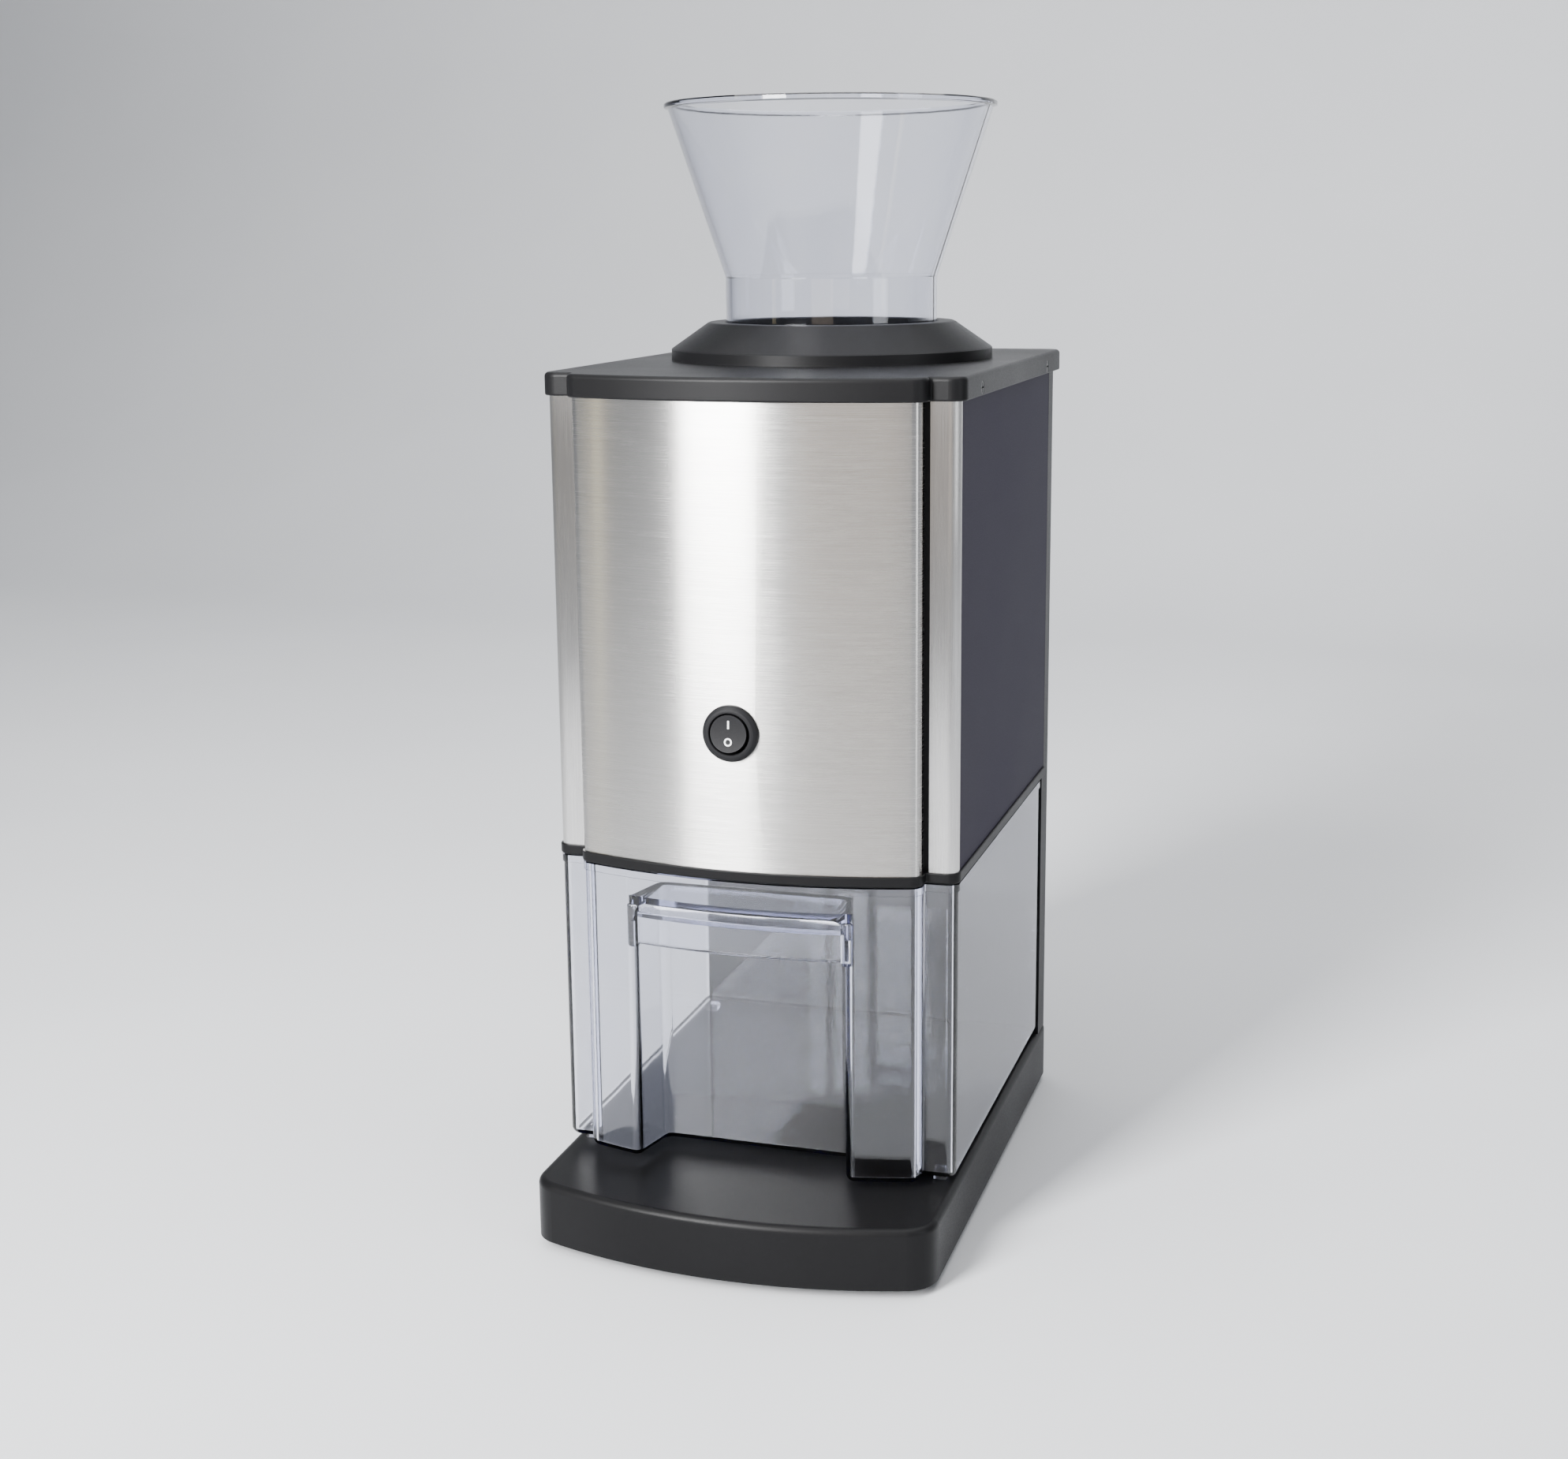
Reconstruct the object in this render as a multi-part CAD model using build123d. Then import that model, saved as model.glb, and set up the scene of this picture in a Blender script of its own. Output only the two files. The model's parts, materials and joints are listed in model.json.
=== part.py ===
from build123d import *
import math
import os

os.makedirs("parts", exist_ok=True)

# Electric ice crusher for a counter. Millimetres.
# Origin: middle of the footprint at table height. X to the right, Y to the back, Z up.

# heights above the table
FOOT_TOP = 4.0
BASE_TOP = 29.6
PAD_BOTTOM = 29.9
CONTAINER_BOTTOM = 33.0
CONTAINER_TOP = 158.8
HOUSING_BOTTOM = 159.3
STEEL_BOTTOM = 163.7
CAP_BOTTOM = 350.9
CAP_TOP = 360.3
SKIRT_TOP = 365.2
COLLAR_TOP = 376.3
HOPPER_BOTTOM = 364.6
HOPPER_KINK = 395.4
HOPPER_RIM = 469.5

# plan of the base
BASE_HALF = 85.6
BASE_CORNER_Y = -116.2
BASE_BOW = 15.2
BASE_BACK = 131.4
BASE_CORNER_R = 14.0

# plan of the housing, the container and the cap: corner strips at the sides, a bowed middle
BODY_HALF = 85.3
STRIP_Y = -77.0
FLANGE_Y = 108.0
BODY_BACK = 122.0
BOW_HALF = 72.0
BOW_STEP = 7.7
BOW = 11.0
CORNER_R = 4.2
BOW_CORNER_R = 4.5
CAP_OVERHANG = 2.2
CAP_STRIP_Y = -78.2
CAP_BACK = 128.0
CONTAINER_BACK = 101.0
COLUMN_FRONT = 104.0
SHEET = 1.0
PANEL = 1.2
FLOOR_LIP = 0.9
WALL = 2.4

# hopper and collar
HOPPER_Y = 42.7
RIM_R = 72.2
NECK_R = 46.5
HOPPER_WALL = 2.5
COLLAR_R = 70.8
COLLAR_TOP_R = 54.1
SLEEVE_R = 47.0
LEDGE_R = 43.8

# recess and handle of the container
RECESS_X = -2.2
RECESS_FRONT_HALF = 45.2
RECESS_BACK_HALF = 40.0
RECESS_BACK_Y = -69.0
RECESS_TOP = 145.2
RECESS_ARCH_R = 6.0
BOSS_OUTBOARD = 0.6
HANDLE_BOTTOM = 127.5
HANDLE_TOP = 141.2
HANDLE_DEPTH = 3.0
HANDLE_SHELF = 13.0
BOSS_R = 2.8
BOTTOM_R = 3.4
RIM_H = 3.0
RIM_STEP = 0.6

# switch
SWITCH_X = -2.2
SWITCH_Z = 220.4
BEZEL_R = 11.5
SWITCH_HOLE_R = 10.0
BEZEL_FRONT_R = 9.3
BEZEL_RISE = 3.0
ROCKER_R = 7.5
ROCKER_RISE = 6.0
ROCKER_PIVOT = 1.5
ROCKER_WINDOW_R = 8.4
ROCKER_REST_TILT = -5.0

# crusher
CRUSHER_Z = 318.0
CHAMBER_HALF_X = 52.0
CHAMBER_HALF_Y = 39.0
CHAMBER_BOTTOM = 286.0
CHAMBER_TOP = 350.0
THROAT_R = 43.5
THROAT_TOP = 361.9
SHAFT_R = 6.0
BLADE_T = 2.6
BLADE_PITCH = 16.0
BLADE_TWIST = 24.0
RUNNING_GAP = 0.05

# gear train
MOTOR_Y = -27.5
MOTOR_Z = 290.0
FINAL_MODULE = 1.25
FINAL_TEETH = 48
SECOND_PINION_TEETH = 16
FIRST_MODULE = 1.0
WHEEL_TEETH = 62
MOTOR_PINION_TEETH = 14
PRESSURE_ANGLE = math.radians(20.0)
BACKLASH = 0.25
PLANE_A = (-66.0, -58.5)
PLANE_B = (-74.5, -68.5)
CASE_X = (-78.0, -54.0)
COVER_X = (-80.4, -78.0)

# motor
CAN_R = 29.0
CAN_X = (-46.0, 36.0)
MOTOR_SHAFT_R = 4.0

# safety switch behind the container
INTERLOCK_X = 58.0
INTERLOCK_Z = 140.0
PLUNGER_R = 2.0


def sorted_pair(first, second):
    return min(first, second), max(first, second)


def block(x_range, y_range, z_range):
    sizes = [high - low for low, high in (x_range, y_range, z_range)]
    middle = [(low + high) / 2 for low, high in (x_range, y_range, z_range)]
    return Pos(*middle) * Box(*sizes)


def slab(plan, low, high):
    return Pos(0, 0, low) * extrude(plan, amount=high - low)


def rod_x(x_range, y, z, radius):
    low, high = x_range
    return Pos((low + high) / 2, y, z) * Rot(0, 90, 0) * Cylinder(radius, high - low)


def rod_y(x, y_range, z, radius):
    low, high = y_range
    return Pos(x, (low + high) / 2, z) * Rot(90, 0, 0) * Cylinder(radius, high - low)


def rod_z(x, y, z_range, radius):
    low, high = z_range
    return Pos(x, y, (low + high) / 2) * Cylinder(radius, high - low)


def side_slab(profile, x_range):
    low, high = x_range
    return Pos(low, 0, 0) * extrude(Plane.YZ * profile, amount=high - low)


def save(name, *solids):
    shape = solids[0] if len(solids) == 1 else Compound(children=list(solids))
    export_step(shape, f"parts/{name}.step")


def round_at(plan, x, y, radius):
    corners = [
        v
        for v in plan.vertices()
        if math.isclose(abs(v.X), x, abs_tol=0.01) and math.isclose(v.Y, y, abs_tol=0.01)
    ]
    return fillet(corners, radius)


def round_upright(solid, x, y, radius):
    edges = [
        e
        for e in solid.edges().filter_by(Axis.Z)
        if math.isclose(e.center().X, x, abs_tol=0.05) and math.isclose(e.center().Y, y, abs_tol=0.05)
    ]
    return fillet(edges, radius)


def bow_radius(half, bow):
    return (half ** 2 + bow ** 2) / (2 * bow)


def body_plan(inset=0.0, back=BODY_BACK, strip_y=STRIP_Y, rear_corner=4.0):
    """Housing outline seen from above, moved inward by inset."""
    half = BODY_HALF - inset
    front = strip_y + inset
    rear = back - inset
    bow_half = BOW_HALF - inset
    radius = bow_radius(BOW_HALF, BOW) - inset
    nose = strip_y - BOW_STEP - BOW + inset
    frame = Pos(0, (front + rear) / 2) * Rectangle(2 * half, rear - front)
    band = Pos(0, (nose + front) / 2 + 5) * Rectangle(2 * bow_half, front - nose + 12)
    tongue = (Pos(0, nose + radius) * Circle(radius)) & band
    bow_end = nose + radius - math.sqrt(radius ** 2 - bow_half ** 2)
    plan = frame + tongue
    plan = round_at(plan, half, front, max(CORNER_R - inset, 1.0))
    plan = round_at(plan, half, rear, max(rear_corner - inset, 0.8))
    plan = round_at(plan, bow_half, bow_end, max(BOW_CORNER_R - inset, 1.0))
    return round_at(plan, bow_half, front, 1.0)


def base_plan(inset=0.0):
    half = BASE_HALF - inset
    front = BASE_CORNER_Y + inset
    rear = BASE_BACK - inset
    radius = bow_radius(BASE_HALF, BASE_BOW)
    nose = BASE_CORNER_Y - BASE_BOW + inset
    frame = Pos(0, (front + rear) / 2) * Rectangle(2 * half, rear - front)
    band = Pos(0, (nose + front) / 2 + 5) * Rectangle(2 * half, front - nose + 12)
    tongue = (Pos(0, nose + radius) * Circle(radius)) & band
    bow_end = nose + radius - math.sqrt(radius ** 2 - half ** 2)
    plan = frame + tongue
    plan = round_at(plan, half, bow_end, BASE_CORNER_R - inset)
    return round_at(plan, half, rear, BASE_CORNER_R - inset)


def involute(ratio):
    return math.sqrt(ratio ** 2 - 1) - math.acos(1 / ratio)


def gear_profile(module, teeth, phase, bore):
    """Spur gear face in the YZ plane, one tooth centred on the phase angle."""
    pitch = module * teeth / 2
    base = pitch * math.cos(PRESSURE_ANGLE)
    tip = pitch + 0.9 * module
    root = pitch - 1.2 * module
    start = max(root, base)
    half_tooth = math.pi / (2 * teeth) - BACKLASH / (2 * pitch)
    at_pitch = half_tooth + involute(pitch / base)
    radii = [start + (tip - start) * i / 4 for i in range(5)]
    flank = [(r, at_pitch - involute(max(r / base, 1.0))) for r in radii]
    flank = [(root, flank[0][1])] + flank if root < base else flank
    points = []
    for tooth in range(teeth):
        centre = phase + 2 * math.pi * tooth / teeth
        for r, spread in flank:
            points.append((r * math.cos(centre - spread), r * math.sin(centre - spread)))
        for r, spread in reversed(flank):
            points.append((r * math.cos(centre + spread), r * math.sin(centre + spread)))
    return Polygon(*points, align=None) - Circle(bore)


def hull(circles):
    edges = [(Pos(y, z) * Circle(r)).edge() for y, z, r in circles]
    return make_hull(edges)


# ---- positions worked out from the driving dimensions ----
SHAFT_AT = (HOPPER_Y, CRUSHER_Z)
MOTOR_AT = (MOTOR_Y, MOTOR_Z)
FIRST_DISTANCE = FIRST_MODULE * (WHEEL_TEETH + MOTOR_PINION_TEETH) / 2
FINAL_DISTANCE = FINAL_MODULE * (FINAL_TEETH + SECOND_PINION_TEETH) / 2
NOSE_Y = STRIP_Y - BOW_STEP - BOW


def middle_axis():
    """Axis of the middle gear, below the line from the crusher shaft to the motor."""
    dy = MOTOR_AT[0] - SHAFT_AT[0]
    dz = MOTOR_AT[1] - SHAFT_AT[1]
    span = math.hypot(dy, dz)
    along = (FINAL_DISTANCE ** 2 - FIRST_DISTANCE ** 2 + span ** 2) / (2 * span)
    aside = math.sqrt(FINAL_DISTANCE ** 2 - along ** 2)
    uy, uz = dy / span, dz / span
    return SHAFT_AT[0] + along * uy - aside * uz, SHAFT_AT[1] + along * uz + aside * uy


MIDDLE_AT = middle_axis()
TO_FINAL = math.atan2(SHAFT_AT[1] - MIDDLE_AT[1], SHAFT_AT[0] - MIDDLE_AT[0])
TO_MOTOR = math.atan2(MOTOR_AT[1] - MIDDLE_AT[1], MOTOR_AT[0] - MIDDLE_AT[0])

FOOT_SPOTS = [(x, y) for x in (-66.0, 66.0) for y in (-96.0, 110.0)]
COLUMN_SCREW_SPOTS = [(-40.0, 113.0), (40.0, 113.0)]
CAP_SCREW_Y = (-46.0, 92.0)
CAP_SCREW_Z = 354.2
CHUTE_SCREW_SPOTS = [(x, HOPPER_Y + y) for x in (-48.5, 48.5) for y in (-30.0, 30.0)]


def base_tray():
    tray = slab(base_plan(), FOOT_TOP, BASE_TOP)
    tray = fillet(tray.edges().group_by(Axis.Z)[-1], 3.0)
    tray -= slab(base_plan(2.6), FOOT_TOP - 1, BASE_TOP - 2.6)
    for x, y in FOOT_SPOTS:
        tray += rod_z(x, y, (FOOT_TOP + 1.2, BASE_TOP - 2.0), 9.5)
        tray -= rod_z(x, y, (FOOT_TOP, FOOT_TOP + 3.2), 7.05)
    for x, y in COLUMN_SCREW_SPOTS:
        tray += rod_z(x, y, (BASE_TOP - 10, BASE_TOP - 2), 5.0)
        tray -= rod_z(x, y, (0, BASE_TOP + 1), 2.05)
        tray -= rod_z(x, y, (0, BASE_TOP - 6), 4.05)
    for y in (-60.0, 0.0, 60.0):
        tray += block((-83.5, 83.5), (y - 1, y + 1), (BASE_TOP - 10, BASE_TOP - 2))
    return tray


def rubber_feet():
    feet = []
    for x, y in FOOT_SPOTS:
        foot = rod_z(x, y, (0, FOOT_TOP), 8.5)
        foot = chamfer(foot.edges().group_by(Axis.Z)[0], 0.8)
        feet.append(foot + rod_z(x, y, (FOOT_TOP - 0.5, FOOT_TOP + 3.2), 7.0))
    return feet


def column_screws():
    screws = []
    for x, y in COLUMN_SCREW_SPOTS:
        head = rod_z(x, y, (BASE_TOP - 8.5, BASE_TOP - 6), 4.0)
        screws.append(head + rod_z(x, y, (BASE_TOP - 6.5, BASE_TOP + 9), 2.0))
    return screws


def rear_shell():
    depth = BODY_BACK - COLUMN_FRONT
    outer = Pos(0, COLUMN_FRONT + depth / 2) * Rectangle(2 * BODY_HALF, depth)
    outer = round_at(outer, BODY_HALF, BODY_BACK, 4.0)
    inner = Pos(0, COLUMN_FRONT + depth / 2) * Rectangle(2 * BODY_HALF - 5, depth - 5)
    column = slab(outer, BASE_TOP, HOUSING_BOTTOM) - slab(inner, BASE_TOP + 3, HOUSING_BOTTOM + 1)
    channel = slab(outer, HOUSING_BOTTOM, CAP_BOTTOM)
    channel -= block(
        (-BODY_HALF + 2.5, BODY_HALF - 2.5),
        (COLUMN_FRONT - 1, BODY_BACK - 2.5),
        (HOUSING_BOTTOM - 1, CAP_BOTTOM + 1),
    )
    channel -= block(
        (-BODY_HALF - 1, BODY_HALF + 1), (COLUMN_FRONT - 1, FLANGE_Y), (HOUSING_BOTTOM, CAP_BOTTOM + 1)
    )
    shell = column + channel
    for row in range(7):
        slot_z = 268 + 9 * row
        shell -= block((-32, 32), (BODY_BACK - 3, BODY_BACK + 1), (slot_z, slot_z + 3.2))
    for x, y in COLUMN_SCREW_SPOTS:
        shell += rod_z(x, y, (BASE_TOP, BASE_TOP + 14), 4.5)
        shell -= rod_z(x, y, (BASE_TOP - 1, BASE_TOP + 9.5), 2.05)
    shell -= rod_y(INTERLOCK_X, (COLUMN_FRONT - 1, COLUMN_FRONT + 3), INTERLOCK_Z, PLUNGER_R + 1.0)
    shell -= rod_y(-50, (BODY_BACK - 3, BODY_BACK + 1), 190, 6.05)
    return shell


def housing_floor():
    plan = body_plan(-FLOOR_LIP, back=FLANGE_Y - FLOOR_LIP - 0.2, rear_corner=0.5)
    plate = slab(plan, HOUSING_BOTTOM, STEEL_BOTTOM)
    plate = fillet(plate.edges().group_by(Axis.Z)[0], 0.9)
    plate = fillet(plate.edges().group_by(Axis.Z)[-1], 0.5)
    plate += block(
        (-BODY_HALF + 2.8, BODY_HALF - 2.8), (100, BODY_BACK - 2.8), (HOUSING_BOTTOM, STEEL_BOTTOM)
    )
    through = (HOUSING_BOTTOM - 1, STEEL_BOTTOM + 1)
    plate -= block((-43.8, 43.8), (HOPPER_Y - 34.3, HOPPER_Y + 34.3), through)
    plate -= block((INTERLOCK_X - 4, INTERLOCK_X + 4), (110, 116), through)
    for side in (-1, 1):
        edge = side * (BODY_HALF - PANEL - 0.1)
        low, high = sorted_pair(edge, edge - side * 2.4)
        plate += block((low, high), (-58, 104), (STEEL_BOTTOM, STEEL_BOTTOM + 9))
    for x, y in CHUTE_SCREW_SPOTS:
        plate -= rod_z(x, y, (HOUSING_BOTTOM + 1, STEEL_BOTTOM + 1), 1.55)
    return plate


def front_frame():
    ring = slab(body_plan(SHEET + 0.1), STEEL_BOTTOM, CAP_BOTTOM)
    ring -= slab(body_plan(SHEET + 2.3), STEEL_BOTTOM - 1, CAP_BOTTOM + 1)
    end = STRIP_Y + CORNER_R + 1.2
    ring -= block((-100, 100), (end, BODY_BACK), (STEEL_BOTTOM - 1, CAP_BOTTOM + 1))
    return ring - rod_y(SWITCH_X, (-100, -60), SWITCH_Z, SWITCH_HOLE_R)


def front_panel():
    outer = slab(body_plan(), STEEL_BOTTOM, CAP_BOTTOM)
    sheet = outer - slab(body_plan(SHEET), STEEL_BOTTOM - 1, CAP_BOTTOM + 1)
    keep = block((-BOW_HALF - 0.2, BOW_HALF + 0.2), (NOSE_Y - 2, STRIP_Y - 1.6), (STEEL_BOTTOM, CAP_BOTTOM))
    sheet = sheet & keep
    return sheet - rod_y(SWITCH_X, (-100, -60), SWITCH_Z, SWITCH_HOLE_R)


def corner_strip(side):
    outer = slab(body_plan(), STEEL_BOTTOM, CAP_BOTTOM)
    sheet = outer - slab(body_plan(SHEET), STEEL_BOTTOM - 1, CAP_BOTTOM + 1)
    low, high = sorted_pair(side * (BOW_HALF + 1.9), side * (BODY_HALF + 1))
    return sheet & block((low, high), (STRIP_Y - 1, STRIP_Y + CORNER_R + 1.2), (STEEL_BOTTOM, CAP_BOTTOM))


def side_panel(side):
    low, high = sorted_pair(side * (BODY_HALF - PANEL), side * BODY_HALF)
    start = STRIP_Y + CORNER_R + 1.5
    panel = block((low, high), (start, FLANGE_Y - 0.4), (STEEL_BOTTOM, CAP_BOTTOM))
    low, high = sorted_pair(side * (BODY_HALF - PANEL - 0.4), side * (BODY_HALF - 0.4))
    for y in CAP_SCREW_Y:
        panel += block((low, high), (y - 8, y + 8), (CAP_BOTTOM - 3, CAP_TOP - 3.3))
        panel -= rod_x(sorted_pair(side * 80, side * 90), y, CAP_SCREW_Z, 1.65)
    return panel


def cap_plan(inset=0.0):
    strip_y = CAP_STRIP_Y + CAP_OVERHANG
    return body_plan(inset - CAP_OVERHANG, back=CAP_BACK - CAP_OVERHANG, strip_y=strip_y)


def top_cap():
    cap = slab(cap_plan(), CAP_BOTTOM, CAP_TOP)
    cap = fillet(cap.edges().group_by(Axis.Z)[-1], 1.8)
    cap = fillet(cap.edges().group_by(Axis.Z)[0], 0.8)
    cap -= slab(cap_plan(2.4), CAP_BOTTOM - 1, CAP_TOP - 3)
    cap += slab(cap_plan(2.2) - body_plan(3.6), CAP_TOP - 4.6, CAP_TOP - 2)
    for y in CAP_SCREW_Y:
        for side in (-1, 1):
            tab_low, tab_high = sorted_pair(side * 80, side * (BODY_HALF - 0.1))
            cap -= block((tab_low, tab_high), (y - 8.5, y + 8.5), (CAP_BOTTOM - 1, CAP_TOP - 3))
            cap -= rod_x(sorted_pair(side * 80, side * 90), y, CAP_SCREW_Z, 1.65)
            cap -= rod_x(sorted_pair(side * 86.3, side * 90), y, CAP_SCREW_Z, 2.75)
    return cap - rod_z(0, HOPPER_Y, (CAP_BOTTOM, CAP_TOP + 1), SLEEVE_R)


def cap_screws():
    screws = []
    for y in CAP_SCREW_Y:
        for side in (-1, 1):
            screw = rod_x(sorted_pair(side * 82.5, side * 86.6), y, CAP_SCREW_Z, 1.6)
            screw += rod_x(sorted_pair(side * 86.35, side * 87.4), y, CAP_SCREW_Z, 2.7)
            for half_y, half_z in ((2.0, 0.3), (0.3, 2.0)):
                screw -= block(
                    sorted_pair(side * 86.9, side * 88),
                    (y - half_y, y + half_y),
                    (CAP_SCREW_Z - half_z, CAP_SCREW_Z + half_z),
                )
            screws.append(screw)
    return screws


def turned(points):
    """Body of revolution about the hopper axis from (radius, height) points."""
    face = Plane.XZ * Polygon(*points, align=None)
    return Pos(0, HOPPER_Y, 0) * revolve(face, Axis.Z)


def collar():
    return turned([
        (LEDGE_R, 362.0),
        (49.5, 362.0),
        (49.5, COLLAR_TOP - 3.0),
        (COLLAR_TOP_R - 1.2, COLLAR_TOP - 3.0),
        (COLLAR_R - 2.6, SKIRT_TOP - 1.6),
        (COLLAR_R - 2.6, CAP_TOP),
        (COLLAR_R, CAP_TOP),
        (COLLAR_R, SKIRT_TOP - 0.5),
        (COLLAR_R - 0.6, SKIRT_TOP),
        (COLLAR_TOP_R + 0.5, COLLAR_TOP - 0.3),
        (COLLAR_TOP_R - 0.3, COLLAR_TOP),
        (SLEEVE_R + 0.4, COLLAR_TOP),
        (SLEEVE_R, COLLAR_TOP - 0.4),
        (SLEEVE_R, 364.3),
        (LEDGE_R, 364.3),
    ])


def hopper():
    slope = (RIM_R - 0.9 - NECK_R) / (HOPPER_RIM - HOPPER_KINK)
    wall = HOPPER_WALL
    return turned([
        (NECK_R, HOPPER_BOTTOM),
        (NECK_R, HOPPER_KINK),
        (NECK_R + slope * (HOPPER_RIM - 2.6 - HOPPER_KINK), HOPPER_RIM - 2.6),
        (RIM_R, HOPPER_RIM - 2.0),
        (RIM_R, HOPPER_RIM - 0.5),
        (RIM_R - 0.5, HOPPER_RIM),
        (RIM_R - wall - 0.3, HOPPER_RIM),
        (RIM_R - wall - 0.8, HOPPER_RIM - 0.5),
        (NECK_R - wall, HOPPER_KINK + 0.8),
        (NECK_R - wall, HOPPER_BOTTOM),
    ])


def crusher_chamber():
    middle = Pos(0, HOPPER_Y)
    x_walls = (-CHAMBER_HALF_X, CHAMBER_HALF_X)
    y_walls = (HOPPER_Y - CHAMBER_HALF_Y, HOPPER_Y + CHAMBER_HALF_Y)
    box = block(x_walls, y_walls, (CHAMBER_BOTTOM, CHAMBER_TOP))
    box -= block(
        (x_walls[0] + 3, x_walls[1] - 3),
        (y_walls[0] + 2.5, y_walls[1] - 2.5),
        (CHAMBER_BOTTOM - 1, CHAMBER_TOP - 3),
    )
    opening = Circle(THROAT_R) & Rectangle(2 * CHAMBER_HALF_X - 6, 2 * CHAMBER_HALF_Y - 5)
    box += slab(middle * (Circle(SLEEVE_R) - opening), CHAMBER_TOP - 3, CHAMBER_TOP)
    box -= slab(middle * opening, CHAMBER_TOP - 4, CHAMBER_TOP + 1)
    box += slab(middle * (Circle(SLEEVE_R - 0.5) - Circle(THROAT_R)), CHAMBER_TOP, THROAT_TOP)
    box -= rod_x((-60, 60), *SHAFT_AT, 10.05)
    for x in comb_positions():
        box -= block(
            (x - 1.35, x + 1.35),
            (y_walls[1] - 3, y_walls[1] + 1),
            (CRUSHER_Z - 9.05, CRUSHER_Z + 9.05),
        )
    return box


def comb_positions():
    return [BLADE_PITCH * (i - 2.5) for i in range(6)]


def blade_positions():
    return [BLADE_PITCH * (i - 2) for i in range(5)]


def comb_blades():
    combs = []
    for x in comb_positions():
        low = HOPPER_Y + 10.5
        high = HOPPER_Y + CHAMBER_HALF_Y
        plate = block((x - 1.3, x + 1.3), (low, high), (CRUSHER_Z - 9, CRUSHER_Z + 9))
        combs.append(chamfer(plate.edges().filter_by(Axis.X).group_by(Axis.Y)[0], 3.0))
    return combs


def shaft_bushes():
    bushes = []
    for side in (-1, 1):
        bush = rod_x(sorted_pair(side * 48.5, side * 53.2), *SHAFT_AT, 10.0)
        bushes.append(bush - rod_x((-60, 60), *SHAFT_AT, SHAFT_R + RUNNING_GAP))
    return bushes


def crusher_shaft():
    shaft = rod_x((-67.5, 56.0), *SHAFT_AT, SHAFT_R)
    return chamfer(shaft.edges().filter_by(GeomType.CIRCLE), 0.8)


def crusher_blades():
    edge = [(-8, 6), (8, 6), (10, 16), (9, 24), (3.5, 29.6), (-1, 29.9), (1, 22), (-5, 15)]
    claw = Polygon(*edge, align=None)
    profile = Circle(13)
    for turn in range(3):
        profile += Rot(0, 0, 120 * turn) * claw
    profile -= Circle(SHAFT_R)
    blades = []
    for index, x in enumerate(blade_positions()):
        twisted = Pos(*SHAFT_AT) * Rot(0, 0, 12 + BLADE_TWIST * index) * profile
        blades.append(side_slab(twisted, (x - BLADE_T / 2, x + BLADE_T / 2)))
    return blades


def blade_spacers():
    spacers = []
    edges = [-48.0] + blade_positions() + [48.0]
    for left, right in zip(edges[:-1], edges[1:]):
        low = left if left == -48.0 else left + BLADE_T / 2
        high = right if right == 48.0 else right - BLADE_T / 2
        sleeve = rod_x((low, high), *SHAFT_AT, 9.0)
        spacers.append(sleeve - rod_x((low - 1, high + 1), *SHAFT_AT, SHAFT_R))
    return spacers


def placed_gear(module, teeth, phase, bore, at, x_range):
    return side_slab(Pos(*at) * gear_profile(module, teeth, phase, bore), x_range)


def final_gear():
    phase = TO_FINAL + math.pi + math.pi / FINAL_TEETH
    gear = placed_gear(FINAL_MODULE, FINAL_TEETH, phase, SHAFT_R, SHAFT_AT, PLANE_A)
    for spoke in range(6):
        angle = math.radians(60 * spoke)
        y = SHAFT_AT[0] + 18 * math.cos(angle)
        z = SHAFT_AT[1] + 18 * math.sin(angle)
        gear -= rod_x((PLANE_A[0] - 1, PLANE_A[1] + 1), y, z, 5.0)
    return gear


def middle_gear():
    bore = 3.0 + RUNNING_GAP
    wheel = placed_gear(FIRST_MODULE, WHEEL_TEETH, TO_MOTOR, bore, MIDDLE_AT, PLANE_B)
    step = (PLANE_B[1], PLANE_A[1])
    pinion = placed_gear(FINAL_MODULE, SECOND_PINION_TEETH, TO_FINAL, bore, MIDDLE_AT, step)
    return wheel + pinion


def gear_pin():
    return rod_x((COVER_X[1], CASE_X[1]), *MIDDLE_AT, 3.0)


def case_plan(inset):
    return hull([
        (*SHAFT_AT, 34.2 - inset),
        (*MIDDLE_AT, 35.0 - inset),
        (*MOTOR_AT, 30.0 - inset),
    ])


CASE_SCREWS = [(78.5, 318.0), (10.0, 256.5), (-60.5, 290.0), (2.0, 338.0)]


def gearbox_case():
    case = side_slab(case_plan(0), CASE_X)
    case -= side_slab(case_plan(2.2), (CASE_X[0] - 1, CASE_X[1] - 2.5))
    for y, z in CASE_SCREWS:
        case += rod_x((CASE_X[0], CASE_X[1]), y, z, 3.6)
        case -= rod_x((CASE_X[0] - 1, CASE_X[0] + 10), y, z, 1.3)
    case -= rod_x((CASE_X[0] - 1, CASE_X[1] + 1), *SHAFT_AT, SHAFT_R + 1.0)
    case -= rod_x((CASE_X[0] - 1, CASE_X[1] + 1), *MOTOR_AT, 9.05)
    return case - rod_x((CASE_X[0] - 1, CASE_X[1] + 1), *MIDDLE_AT, 3.0)


def gearbox_cover():
    cover = side_slab(case_plan(0), COVER_X)
    for y, z in CASE_SCREWS:
        cover += rod_x(COVER_X, y, z, 3.6)
        cover -= rod_x((COVER_X[0] - 1, COVER_X[1] + 1), y, z, 1.3)
    return cover


def gearbox_screws():
    screws = []
    for y, z in CASE_SCREWS:
        head = rod_x((COVER_X[0] - 1.8, COVER_X[0]), y, z, 2.6)
        screws.append(head + rod_x((COVER_X[0] - 0.5, CASE_X[0] + 9), y, z, 1.25))
    return screws


def motor_can():
    return rod_x(CAN_X, *MOTOR_AT, CAN_R) - rod_x((-50, 50), *MOTOR_AT, CAN_R - 2)


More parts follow.
